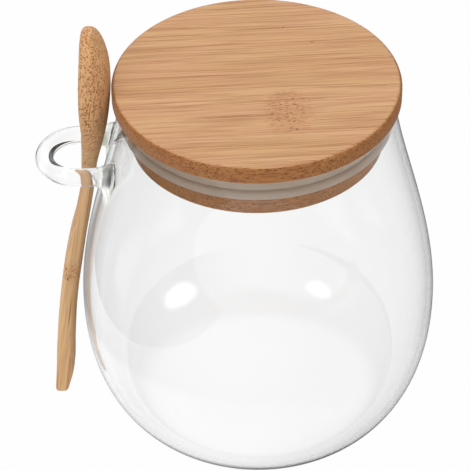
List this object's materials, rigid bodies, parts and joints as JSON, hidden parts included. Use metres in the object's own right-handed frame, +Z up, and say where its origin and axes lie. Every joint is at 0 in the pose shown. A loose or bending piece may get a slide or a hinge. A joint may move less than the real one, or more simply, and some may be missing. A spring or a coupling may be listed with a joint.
{
  "type": "glass storage jar with spoon",
  "caption": "Round clear glass storage jar with a plugged bamboo lid, a silicone seal and a bamboo spoon hung in the glass loop on its side.",
  "frame": {"origin": "centre of the flat spot under the jar, on the surface it stands on", "axes": "+Z up along the jar's axis; the glass loop and the spoon are at -X; the picture's viewer is at -Y"},
  "size_m": [0.1106, 0.1, 0.1299],
  "materials": {
    "glass": "clear, smooth, blown and flame-worked",
    "lid_bamboo": "sanded, straight grain, light oil",
    "silicone": "translucent, satin",
    "spoon_bamboo": "sanded, matt"
  },
  "bodies": {
    "root": {"glass_jar": "glass", "bamboo_lid": "lid_bamboo", "silicone_seal": "silicone", "bamboo_spoon": "spoon_bamboo"}
  },
  "joints": []
}
